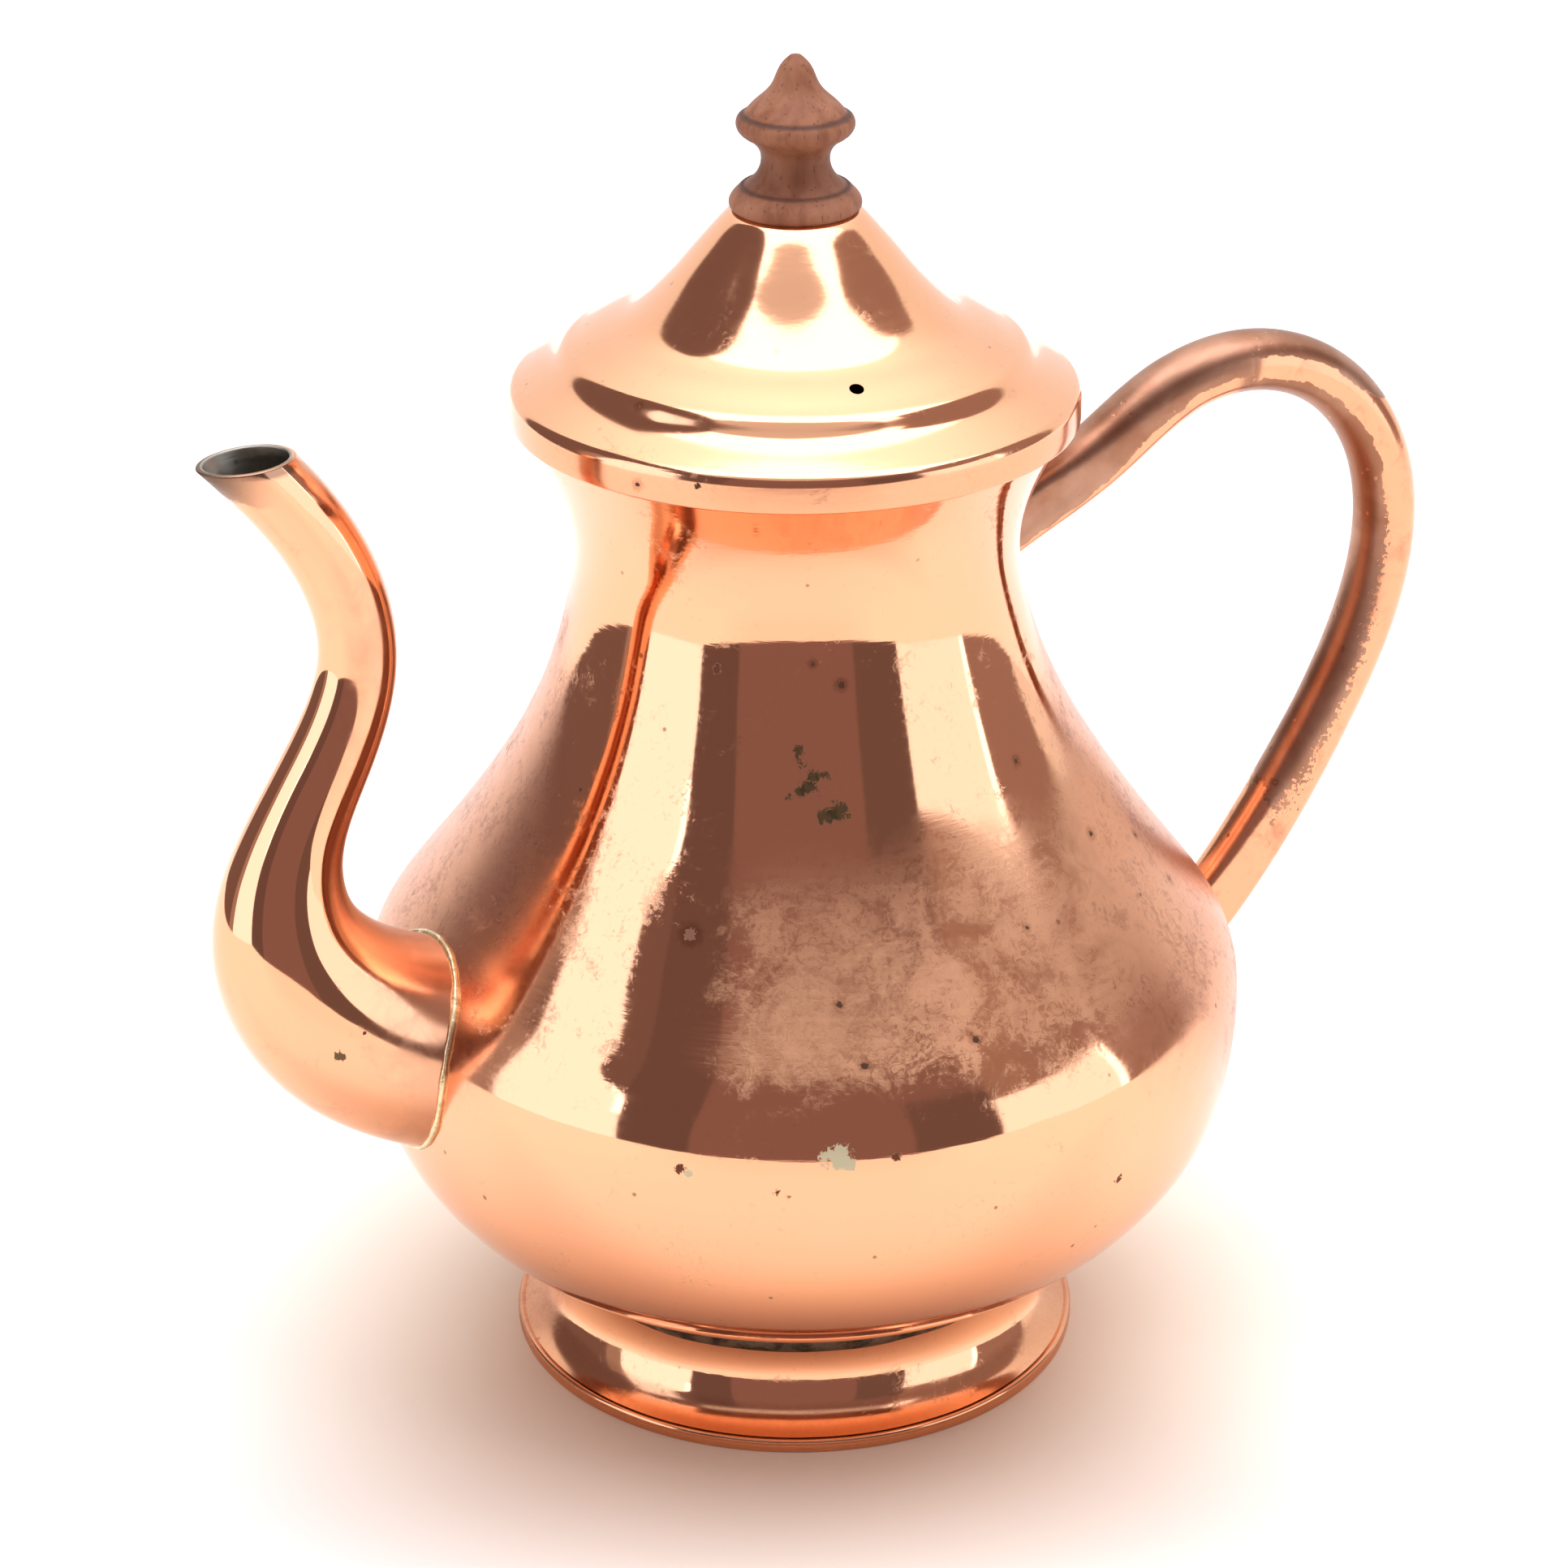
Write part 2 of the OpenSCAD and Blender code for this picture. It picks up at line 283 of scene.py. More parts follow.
def aim(turn_deg):
    """Unit direction in the pot's frame of an azimuth seen from the camera, 0 towards it and + to its right."""
    a = math.radians(turn_deg)
    x, y = math.sin(a), -math.cos(a)
    f = math.radians(-PHOTO_TURN)
    return (x * math.cos(f) - y * math.sin(f), x * math.sin(f) + y * math.cos(f), 0.0)


CLEAR_TURN = 5            # where the copper is free of haze, as an azimuth for aim()
COPPER = (0.93, 0.455, 0.25)
HAZE = (0.75, 0.345, 0.20)
FILM = (0.84, 0.46, 0.25)
BROWN = (0.36, 0.15, 0.085)
DARK = (0.10, 0.05, 0.035)
VERDIGRIS = (0.085, 0.056, 0.026)
PALE_GREEN = (0.68, 0.62, 0.42)


def round_coords(t, where):
    """(angle in radians, height) of a point, for marks that follow the polishing."""
    n = t.node("ShaderNodeSeparateXYZ", {0: where})
    return t.math("ARCTAN2", n.outputs[1], n.outputs[0]), n.outputs[2]


def stains(t, where, color, rough, marks, grain):
    """Small stains and chips, each a place and a size in mm, a tone and whether it has a brown halo."""
    ragged = t.add(t.add(t.noise(where, 520, 5, 0.72, 1.2), t.mul(grain, 0.6)), -0.8)
    for place, size, tone, halo in marks:
        d = t.vmath("DISTANCE", where, tuple(c * MM for c in place))
        d = t.add(d, t.mul(ragged, size * MM * 4.4))
        core = t.step(d, size * MM * 0.75, size * MM * 1.05, 1.0, 0.0)
        if halo:
            ring = t.step(d, size * MM, size * MM * 3.2, 1.0, 0.0)
            color = t.mix(t.mul(ring, 0.5), color, (0.42, 0.15, 0.06))
        color = t.mix(t.mul(core, 0.94), color, tone)
        rough = t.blend(core, rough, 0.7)
    return color, rough


def copper_body(name, marks=(), haze=1.0, film=1.0, seed=0.0, worn=0.0, dull=(0, 0)):
    """Polished copper with polish lines, a mottled tan film and small stains.

    The haze is clear towards a fixed direction near the photograph's camera and thick to the sides and back.
    """
    m, t, where = material(name)
    angle, height = round_coords(t, where)
    moved = t.vmath("ADD", where, (seed, seed * 0.7, seed * 1.3))
    flat = t.node("ShaderNodeCombineXYZ", {0: t.mul(angle, 0.10), 1: t.mul(height, 16.0), 2: seed}).outputs[0]
    outward = t.vmath("NORMALIZE", t.vmath("MULTIPLY", where, (1, 1, 0)))
    front = t.vmath("DOT_PRODUCT", outward, aim(CLEAR_TURN))
    to_right = t.vmath("DOT_PRODUCT", where, aim(90))

    cloud = t.noise(moved, 24, 6, 0.62, 0.5)
    mid = t.noise(moved, 95, 6, 0.68, 1.0)
    fibre = t.noise(moved, 520, 5, 0.70, 1.6)
    lines = t.noise(flat, 60, 3, 0.5)
    fine = t.noise(moved, 1100, 3, 0.6)

    low = t.mul(t.band(height, 0.064, 0.128, 0.045), 0.42)
    edge = t.add(t.add(front, t.mul(low, -1.0)), t.mul(t.add(t.mul(cloud, 0.6), t.mul(fibre, 0.4)), 0.7))
    side = t.mul(t.step(edge, 0.72, 0.40), t.step(height, 0.168, 0.140))
    haze_mask = t.math("MULTIPLY", side, haze, clamp=True)
    rough_edge = t.add(t.mul(t.add(mid, -0.5), 0.030), t.mul(t.add(fibre, -0.5), 0.020))
    zone = t.mul(t.band(t.add(to_right, rough_edge), -0.010, 0.062, 0.016),
                 t.band(t.add(height, rough_edge), 0.0885, 0.1215, 0.012))
    zone = t.mul(zone, t.step(front, 0.0, 0.4))
    dense = t.add(t.add(t.mul(mid, 2.0), t.mul(fibre, 1.5)), -1.05)
    spread = t.add(t.add(t.mul(cloud, 0.35), t.mul(mid, 0.35)), t.mul(fibre, 0.30))
    dense = t.math("MAXIMUM", t.math("MINIMUM", dense, 0.97), 0.12)
    film_mask = t.math("MAXIMUM", t.mul(zone, dense), t.step(spread, 0.53, 0.66))
    film_mask = t.math("MULTIPLY", film_mask, film, clamp=True)
    fleck = t.mul(t.spots(moved, 420, 0.13, 0.10), t.step(mid, 0.50, 0.62))
    fleck2 = t.mul(t.spots(moved, 95, 0.030, 0.030), t.step(cloud, 0.44, 0.52))

    color = t.mix(t.mul(haze_mask, t.add(0.45, t.mul(fibre, 0.6))), COPPER, HAZE)
    patchy = t.mul(haze_mask, t.step(t.add(mid, fibre), 0.98, 1.22))
    color = t.mix(t.mul(patchy, 0.60), color, (0.46, 0.19, 0.12))
    color = t.mix(t.mul(film_mask, 0.55), color, FILM)
    color = t.mix(t.mul(t.mul(film_mask, t.step(fibre, 0.52, 0.70)), 0.35), color, BROWN)
    color = t.mix(t.mul(fleck, t.add(0.10, t.mul(haze_mask, 0.35))), color, BROWN)
    color = t.mix(t.mul(fleck2, 0.7), color, DARK)
    rough = t.add(0.045 + worn, t.mul(haze_mask, 0.15))
    rough = t.add(rough, t.mul(film_mask, 0.33))
    rough = t.add(rough, t.mul(t.step(lines, 0.35, 0.75), 0.025))
    rough = t.add(rough, t.mul(fibre, t.mul(haze_mask, 0.22)))
    ragged_height = t.add(height, t.mul(t.add(mid, -0.5), 0.002))
    tired = t.mul(t.step(ragged_height, dull[0] + 0.0008, dull[0] - 0.0008), dull[1])
    color = t.mix(t.mul(tired, t.add(0.55, fibre)), color, (0.60, 0.25, 0.125))
    rough = t.add(rough, t.mul(tired, 0.12))
    color, rough = stains(t, where, color, rough, marks, mid)
    wave = t.noise(where, 26, 2, 0.4)
    height_map = t.add(wave, t.mul(lines, 0.03))
    height_map = t.add(height_map, t.mul(t.mul(fibre, t.add(haze_mask, film_mask)), 0.035))
    finish_material(t, color, t.math("MINIMUM", rough, 0.8), t.bump(height_map, 0.00030))
    return m


def tin_lining(name):
    m, t, where = material(name)
    cloud = t.noise(where, 45, 5, 0.6, 0.6)
    streak = t.noise(t.stretch(where, (1, 1, 6)), 120, 3, 0.5)
    color = t.mix(t.step(cloud, 0.35, 0.7), (0.50, 0.455, 0.385), (0.34, 0.30, 0.245))
    color = t.mix(t.mul(t.spots(where, 200, 0.1, 0.1), 0.6), color, (0.12, 0.10, 0.09))
    rough = t.add(0.32, t.mul(streak, 0.25))
    finish_material(t, color, rough, t.bump(t.add(cloud, t.mul(streak, 0.3)), 0.0003))
    return m


def solder_metal(name, light, dark, rough0, scale=260):
    m, t, where = material(name)
    cloud = t.noise(where, scale, 5, 0.65, 0.3)
    color = t.mix(t.step(cloud, 0.36, 0.66), light, dark)
    finish_material(t, color, t.add(rough0, t.mul(cloud, 0.3)), t.bump(cloud, 0.0004))
    return m


def handle_copper(name):
    """Copper tube under an old brown lacquer, rubbed through to bright copper on its edges and both ends."""
    m, t, where = material(name)
    facing = t.node("ShaderNodeTexCoord").outputs["Normal"]
    xyz = t.node("ShaderNodeSeparateXYZ", {0: where})
    from_middle = t.vmath("MULTIPLY", t.vmath("ADD", where, (-0.086, 0, -0.122)), (1, 0, 1))
    arm = t.vmath("NORMALIZE", from_middle)
    outer = t.vmath("DOT_PRODUCT", facing, arm)
    round_at = t.math("ARCTAN2", t.add(xyz.outputs[2], -0.122), t.add(xyz.outputs[0], -0.086))
    round_at = t.mul(round_at, 180 / math.pi)
    big = t.noise(where, 45, 4, 0.6, 0.5)
    mid = t.noise(where, 170, 6, 0.68, 0.6)
    fine = t.noise(where, 1100, 3, 0.6)
    ragged = t.add(t.mul(t.add(big, -0.5), 0.35), t.mul(t.add(mid, -0.5), 0.55))
    edge = t.add(outer, ragged)
    inner_strip = t.mul(t.step(edge, -0.12, -0.18), t.step(round_at, 80, 90))
    speckled = t.add(edge, t.mul(t.mul(t.add(fine, -0.5), t.step(round_at, 50, 10)), 1.3))
    above = t.add(speckled, t.add(0.42, t.mul(t.step(round_at, 50, -50), -0.36)))
    under = t.add(t.add(0.40, t.mul(t.step(round_at, 62, 38), 1.2)), t.mul(edge, -1.0))
    outer_strip = t.mul(t.step(t.math("MINIMUM", above, under), -0.025, 0.025), t.step(round_at, 86, 82))
    ends = t.math("MAXIMUM", t.step(t.add(round_at, t.mul(ragged, 60)), -60, -68),
                  t.step(t.add(round_at, t.mul(ragged, 60)), 152, 160))
    worn = t.math("MAXIMUM", inner_strip, t.math("MAXIMUM", outer_strip, ends))
    specks = t.mul(t.spots(where, 520, 0.20, 0.08), t.step(mid, 0.54, 0.60))
    worn = t.math("MAXIMUM", worn, t.mul(specks, 0.8))
    lacquer = t.mix(t.step(big, 0.35, 0.65), (0.36, 0.155, 0.085), (0.50, 0.26, 0.165))
    bright = t.mix(t.step(mid, 0.50, 0.78), (0.88, 0.40, 0.215), (0.62, 0.25, 0.13))
    color = t.mix(worn, lacquer, bright)
    lip = t.mul(t.band(worn, 0.25, 0.75, 0.3), 0.55)
    color = t.mix(lip, color, (0.22, 0.10, 0.06))
    nicks = t.mul(t.spots(t.stretch(where, (1, 1, 0.4)), 300, 0.075, 0.04), t.step(big, 0.50, 0.58))
    color = t.mix(t.mul(nicks, 0.8), color, DARK)
    rough = t.blend(worn, t.add(0.30, t.mul(mid, 0.12)), t.add(0.12, t.mul(mid, 0.12)))
    bump = t.add(t.mul(worn, -0.10), t.add(t.mul(fine, 0.05), t.mul(big, 0.5)))
    finish_material(t, color, rough, t.bump(bump, 0.0003))
    return m


def spout_copper(name, marks=()):
    """The spout: as the pot, with a dark ragged tarnish at the low side of its lip."""
    m, t, where = material(name)
    xyz = t.node("ShaderNodeSeparateXYZ", {0: where})
    cloud = t.noise(where, 34, 6, 0.62, 0.5)
    mid = t.noise(where, 150, 6, 0.66, 0.6)
    fibre = t.noise(where, 560, 5, 0.70, 1.5)
    out_front = t.step(xyz.outputs[0], -0.0985, -0.1105)
    low = t.add(t.add(xyz.outputs[2], t.mul(xyz.outputs[0], 0.25)), t.mul(t.add(mid, -0.5), 0.012))
    lip_mask = t.mul(t.step(low, 0.1585, 0.1600), out_front)
    rim = t.step(t.add(xyz.outputs[2], t.mul(t.add(mid, -0.5), 0.0015)), 0.1897, 0.1907)
    rim = t.mul(rim, t.step(xyz.outputs[0], -0.095, -0.0965))
    film = t.step(t.add(t.add(t.mul(cloud, 0.5), t.mul(mid, 0.5)), t.mul(t.add(fibre, -0.5), 0.3)), 0.56, 0.72)
    facing = t.vmath("DOT_PRODUCT", t.node("ShaderNodeTexCoord").outputs["Normal"], (0.92, -0.10, 0.38))
    film = t.math("MAXIMUM", film, t.step(t.add(facing, t.mul(t.add(mid, -0.5), 0.8)), 0.45, 0.85))
    root = t.step(t.add(xyz.outputs[0], t.mul(t.add(mid, -0.5), 0.03)), -0.093, -0.078)
    film = t.math("MAXIMUM", film, t.mul(root, 0.8))
    color = t.mix(t.mul(film, 0.55), COPPER, (0.62, 0.29, 0.18))
    color = t.mix(t.mul(t.math("MAXIMUM", lip_mask, t.mul(rim, 0.7)), 0.92), color, (0.13, 0.085, 0.060))
    rough = t.add(t.add(0.05, t.mul(film, 0.18)), t.mul(lip_mask, 0.35))
    color, rough = stains(t, where, color, rough, marks, mid)
    bump = t.add(t.noise(where, 40, 2, 0.4), t.mul(mid, t.mul(lip_mask, 0.4)))
    finish_material(t, color, rough, t.bump(bump, 0.0003))
    return m


def walnut(name):
    m, t, where = material(name)
    warp = t.noise(where, 60, 3, 0.5)
    xyz = t.node("ShaderNodeSeparateXYZ", {0: where})
    bent = t.node("ShaderNodeCombineXYZ", {0: t.add(xyz.outputs[0], t.mul(warp, 0.004)), 1: xyz.outputs[1],
                                           2: t.mul(xyz.outputs[2], 0.14)}).outputs[0]
    grain = t.noise(bent, 420, 5, 0.65, 0.4)
    broad = t.noise(bent, 110, 3, 0.5)
    pores = t.spots(t.stretch(where, (1, 1, 0.10)), 1300, 0.11, 0.10)
    height = xyz.outputs[2]
    color = t.mix(t.step(grain, 0.30, 0.72), (0.19, 0.060, 0.027), (0.32, 0.122, 0.058))
    color = t.mix(t.mul(t.step(broad, 0.42, 0.68), 0.5), color, (0.47, 0.21, 0.115))
    # Painted light: the bell above the ring a little lighter.
    bell_light = t.step(height, 0.2390, 0.2400)
    color = t.mix(t.mul(bell_light, 0.10), color, (0.50, 0.22, 0.12))
    # Painted shade: the hollow waist darker.
    waist_shade = t.band(height, 0.2262, 0.2352, 0.003)
    color = t.mix(t.mul(waist_shade, 0.45), color, (0.16, 0.050, 0.022))
    color = t.mix(t.mul(pores, 0.5), color, (0.08, 0.030, 0.018))
    # Painted shade: thin dark lines in the grooves under the bell and over the base.
    groove_shade = t.add(t.band(height, 0.2391, 0.2397, 0.0006), t.band(height, 0.2264, 0.2267, 0.0006))
    color = t.mix(t.mul(groove_shade, 0.8), color, (0.05, 0.018, 0.010))
    rough = t.add(0.42, t.mul(grain, 0.2))
    bump = t.add(t.mul(grain, 0.5), t.mul(pores, -0.8))
    finish_material(t, color, rough, t.bump(bump, 0.00010), metallic=0.0, Specular_IOR_Level=0.18)
    return m


def steel(name):
    m, t, where = material(name)
    scratch = t.noise(t.stretch(where, (1, 8, 1)), 260, 4, 0.6)
    color = t.mix(t.step(scratch, 0.3, 0.7), (0.55, 0.54, 0.52), (0.33, 0.31, 0.29))
    finish_material(t, color, t.add(0.28, t.mul(scratch, 0.2)), t.bump(scratch, 0.0001))
    return m


# ---- the pieces ----

pot_outer = join(
    natural([[30, 17], [36, 17.2], [45.6, 20.2], [59.2, 27], [69.9, 36], [78, 48], [81.2, 60], [82, 70],
             [80.9, 79.5], [73.2, 92], [59.9, 110], [48.3, 130], [41.6, 150], [40.4, 159], [41.4, 167],
             [44.2, 175], [47.6, 181.5], [49.2, 184.2]], 8),
    [[49.3, 184.7], [49.3, 187], [49.3, 189.4]])
pot_inner = beside(pot_outer, 1.0)


def body_radius(z):
    """Radius of the pot's outer face at a height in mm."""
    keep = pot_outer[:, 1]
    order = np.argsort(keep)
    return np.interp(z, keep[order], pot_outer[order, 0])


def on_pot(turn_deg, z):
    """Point of the pot's outer face in mm."""
    r = body_radius(z)
    a = math.radians(turn_deg)
    off = lean(z) * LEAN_TO
    return off[0] + r * math.cos(a), off[1] + r * math.sin(a), z


# Stains as (place in mm, size in mm, tone, has a halo). The last four of the pot's are guesses, out of
# the photograph's sight.
RUST = (0.16, 0.055, 0.03)
POT_MARKS = [
    (on_pot(-115.6, 138.2), 1.1, VERDIGRIS, False), (on_pot(-114.9, 136.4), 1.1, VERDIGRIS, False),
    (on_pot(-112.2, 134.0), 1.3, VERDIGRIS, False), (on_pot(-110.4, 134.3), 0.9, VERDIGRIS, False),
    (on_pot(-113.6, 132.2), 1.5, VERDIGRIS, False), (on_pot(-115.6, 131.6), 1.2, VERDIGRIS, False),
    (on_pot(-117.6, 131.0), 0.9, VERDIGRIS, False), (on_pot(-110.4, 127.8), 1.5, VERDIGRIS, False),
    (on_pot(-107.9, 128.2), 1.5, VERDIGRIS, False), (on_pot(-111.0, 77.9), 2.1, PALE_GREEN, False),
    (on_pot(-109.8, 76.6), 1.3, PALE_GREEN, False), (on_pot(-130.2, 74.3), 1.0, RUST, False),
    (on_pot(-129.3, 73.6), 0.8, PALE_GREEN, False), (on_pot(-116.9, 70.4), 0.9, RUST, False),
    (on_pot(-118.4, 71.2), 0.7, RUST, False), (on_pot(-71.2, 60.6), 0.9, RUST, False),
    (on_pot(-103.8, 77.2), 0.6, RUST, False), (on_pot(-111.3, 153.0), 0.45, DARK, True),
    (on_pot(-104.9, 149.2), 0.6, DARK, True), (on_pot(-109.9, 100.0), 0.55, DARK, True),
    (on_pot(-107.0, 91.2), 0.6, DARK, True), (on_pot(-90.9, 92.7), 0.55, DARK, True),
    (on_pot(-51.4, 113.2), 0.6, DARK, True), (on_pot(-36.6, 106.8), 0.55, DARK, True),
    (on_pot(-35.8, 97.9), 0.6, DARK, True), (on_pot(-63.2, 129.5), 0.5, DARK, True),
    (on_pot(-76.4, 105.9), 0.5, DARK, True), (on_pot(-134.8, 151.3), 0.7, RUST, False),
    (on_pot(-134.1, 108.9), 0.9, (0.30, 0.15, 0.10), True), (on_pot(-36, 52), 0.5, DARK, True),
    (on_pot(40, 120), 0.6, DARK, True), (on_pot(75, 84), 0.7, RUST, False),
    (on_pot(120, 100), 0.6, DARK, True), (on_pot(150, 60), 0.8, RUST, False)]
SPOUT_MARKS = [((-96.5, -16.8, 84.0), 1.0, (0.20, 0.13, 0.07), False), ((-92, -17, 88), 0.5, RUST, False)]
LID_MARKS = [((-42.8, -27.8, 187.0), 0.55, DARK, True), ((-35.4, -36.7, 188.7), 0.6, VERDIGRIS, False),
             ((-38.3, -17.8, 197.4), 0.5, RUST, True), ((30, 24, 200.3), 0.6, RUST, True)]
M_BODY = copper_body("copper_body", POT_MARKS)
M_FOOT = copper_body("copper_foot", haze=1.0, film=0.8, seed=0.37, dull=(0.0062, 0.55))
M_LID = copper_body("copper_lid", LID_MARKS, haze=0.25, film=0.8, seed=0.91, worn=0.055,
                    dull=(0.1895, 0.30))
M_SPOUT = spout_copper("copper_spout", SPOUT_MARKS)
M_HANDLE = handle_copper("copper_handle")
M_TIN = tin_lining("tin_lining")
M_BRASS = solder_metal("brass_solder", (0.90, 0.74, 0.46), (0.62, 0.44, 0.24), 0.15)
M_GREY = solder_metal("grey_solder", (0.20, 0.17, 0.12), (0.055, 0.050, 0.036), 0.45)
M_WALNUT = walnut("walnut")
M_STEEL = steel("screw_steel")

rim = arc(48.8, 189.4, 0.5, 0, 180, 6)
shell_profile = join([[0, 17], [12, 17], [24, 17]], pot_outer, rim[1:-1], pot_inner[::-1],
                     [[24, 18], [12, 18], [0, 18]])
shell = revolve("body", shell_profile, [M_BODY, M_TIN], inner_from=3 + len(pot_outer) + 2, sharp=50,
                leans=True)
PITCH = 6.5               # mm between strainer holes
holes = []
for row in range(-3, 4):
    for col in range(-3, 4):
        y, z = (col + (0 if row % 2 == 0 else 0.5)) * PITCH, row * PITCH * math.sin(math.radians(60))
        if math.hypot(y, z) < 14:
            holes.append((-74, y, 75 + z))
drill(shell, holes, 2.0, 20, (1, 0, 0))

bead = arc(52.95, 1.8, 0.8, -30, 90, 10)
cove = natural([[52.45, 2.5], [50.35, 3.7], [48.15, 5.7], [46.35, 8.7], [45.35, 12], [45.1, 14.6], [45.4, 17.0],
                [46.2, 19.2], [47.6, 21.4]], 10)
foot_profile = join([[51.7, 0.3], [51.95, 0.0], [53.5, 0.0], [53.7, 0.1], [53.75, 0.35], [53.72, 1.1]],
                    bead, cove, beside(cove, 1.0)[::-1], [[51.7, 1.1]])
foot = revolve("foot", foot_profile, [M_FOOT], closed=True, sharp=38, wobble=0.05, leans=True)

seam = [[45.0, 20.6], [45.3, 17.4], [46.0, 16.9], [46.8, 17.4], [47.6, 18.6], [48.3, 20.0], [48.6, 21.6]]
foot_bead = revolve("foot_seam", seam, [M_GREY], closed=True, wobble=0.30, leans=True)


def tube_frame(path):
    """Unit directions along a tube's path in the XZ plane."""
    d = np.gradient(path[:, :2], axis=0)
    d /= np.linalg.norm(d, axis=1, keepdims=True)
    return d


def tube_points(path, d, i, theta, grow=0.0):
    """Point of the tube at fractional station i and angle theta. A fifth column flattens its sides."""
    n = len(path)
    i = np.clip(i, 0, n - 1)
    s = np.arange(n)
    x, z, a, b = (np.interp(i, s, path[:, k]) for k in range(4))
    dx, dz = np.interp(i, s, d[:, 0]), np.interp(i, s, d[:, 1])
    length = np.hypot(dx, dz)
    dx, dz = dx / length, dz / length
    flat = np.interp(i, s, path[:, 4]) if path.shape[1] > 4 else 0.0
    up = (a + grow) * np.cos(theta)
    wide = (b + grow) * np.sin(theta) * np.sqrt(1 + flat * np.cos(theta) ** 2)
    return np.stack([x - up * dz, wide, z + up * dx], -1)


def crossing(path, d, theta, lo, hi, inside, grow=0.0):
    """Station at which the tube's line theta leaves the pot: inside(lo) holds and inside(hi) doesn't."""
    lo, hi = np.full(len(theta), float(lo)), np.full(len(theta), float(hi))
    for _ in range(40):
        mid = (lo + hi) / 2
        within = inside(tube_points(path, d, mid, theta, grow))
        lo, hi = np.where(within, mid, lo), np.where(within, hi, mid)
    return (lo + hi) / 2


def in_pot(depth):
    def inside(p):
        off = lean(p[:, 2])[:, None] * LEAN_TO
        return np.hypot(p[:, 0] - off[:, 0], p[:, 1] - off[:, 1]) < body_radius(p[:, 2]) - depth
    return inside


def grid_faces(rows, cols):
    """Quads between successive closed rings of points."""
    faces = []
    for i in range(rows - 1):
        for k in range(cols):
            n = (k + 1) % cols
            faces.append([i * cols + k, i * cols + n, (i + 1) * cols + n, (i + 1) * cols + k])
    return faces


def seam_bead(name, ring, size, mat, rough=0.25):
    """Uneven bead of solder along a closed ring of points in mm."""
    rng = np.random.default_rng(11)
    n = len(ring)
    along = np.roll(ring, -1, 0) - np.roll(ring, 1, 0)
    along /= np.linalg.norm(along, axis=1, keepdims=True)
    out = ring - np.array([ring[:, 0].mean(), 0, ring[:, 2].mean()])
    side = np.cross(along, out)
    side /= np.linalg.norm(side, axis=1, keepdims=True)
    up = np.cross(side, along)
    k = np.arange(n)
    swell = 1 + rough * sum(np.sin(2 * math.pi * k * f / n + rng.uniform(0, 6.28)) for f in (5, 9, 14, 23)) / 2
    verts = []
    for a in np.linspace(0, 2 * math.pi, 12, endpoint=False):
        verts.append(ring + size * swell[:, None] * (math.cos(a) * side + math.sin(a) * up))
    faces = grid_faces(12, n)
    faces += [[11 * n + i, 11 * n + (i + 1) % n, (i + 1) % n, i] for i in range(n)]
    return mesh_object(name, np.concatenate(verts), faces, [mat])


# Spout
SIDES = 96
spout_path = natural([[-62, 71, 20.5, 20.5], [-82, 78, 18.8, 18.8], [-94.5, 89, 16.7, 16.7],
                      [-100, 102.5, 13.4, 13.4], [-98, 118.5, 9.3, 9.3], [-90.5, 134, 7.7, 7.7],
                      [-84.5, 151.5, 7, 7], [-88.5, 171, 7, 7], [-108, 197, 6.8, 6.8]], 12)
spout_dir = tube_frame(spout_path)
theta = np.linspace(0, 2 * math.pi, SIDES, endpoint=False)
MOUTH_LEAN = math.radians(3.5)
LIP_DROP = 0.25           # mm


def below_mouth(p):
    """Under the plane that the mouth is cut on, by the height that the rounded lip adds."""
    return (p[:, 2] - 191.5 + LIP_DROP) * math.cos(MOUTH_LEAN) - (p[:, 0] + 104) * math.sin(MOUTH_LEAN) < 0


last = len(spout_path) - 1
start = crossing(spout_path, spout_dir, theta, 0, 30, in_pot(0.6))
end_out = crossing(spout_path, spout_dir, theta, last - 30, last, below_mouth)
end_in = crossing(spout_path, spout_dir, theta, last - 30, last, below_mouth, grow=-1.0)
rings = []
for s in np.linspace(0, 1, 110):
    rings.append(tube_points(spout_path, spout_dir, start + (end_out - start) * s, theta))
lip_out, lip_in = rings[-1], tube_points(spout_path, spout_dir, end_in, theta, -1.0)
for a in np.linspace(20, 160, 6):
    w = (1 - math.cos(math.radians(a))) / 2
    rings.append(lip_out * (1 - w) + lip_in * w + np.array([0, 0, 0.35 * math.sin(math.radians(a))]))
lip_at = len(rings) - 3
for s in np.linspace(1, 0, 90):
    rings.append(tube_points(spout_path, spout_dir, start + (end_in - start) * s, theta, -1.0))
slots = [0] * (lip_at * SIDES) + [1] * ((len(rings) - 1 - lip_at) * SIDES)
spout = mesh_object("spout_tube", np.concatenate(rings), grid_faces(len(rings), SIDES), [M_SPOUT, M_TIN],
                    slots)
root_at = crossing(spout_path, spout_dir, theta, 0, 30, in_pot(-0.25))
junction = tube_points(spout_path, spout_dir, root_at, theta, 0.15)
spout_bead = seam_bead("spout_seam", junction, 0.55, M_BRASS, 0.2)

# Handle
handle_path = natural([[29, 148.5, 6.4, 3.6], [49.3, 159.6, 6.2, 4], [61.7, 166.6, 6.1, 4.9],
                       [77.6, 177.2, 6, 5.8], [93.2, 180.4, 5.8, 6], [108.9, 175.5, 5.7, 6],
                       [121.6, 161.3, 5.8, 6], [125.6, 141.4, 6, 6], [120.4, 119, 6, 6], [109, 96.4, 6.2, 5.5],
                       [97, 77.8, 6.4, 4.6], [89, 67.8, 6.7, 3.8], [80.5, 60.2, 7, 3.6], [70, 54.5, 7, 3.6]], 14)
steps = np.arange(len(handle_path)) / 14
flatness = np.interp(steps, [0, 1.2, 3.2, 8.6, 11, 13], [1.9, 1.6, 0.0, 0.0, 1.6, 1.9])
handle_path = np.column_stack([handle_path, flatness])
handle_dir = tube_frame(handle_path)
last = len(handle_path) - 1
start = crossing(handle_path, handle_dir, theta, 0, 28, in_pot(0.6))
back_path, back_dir = handle_path[::-1], -handle_dir[::-1]
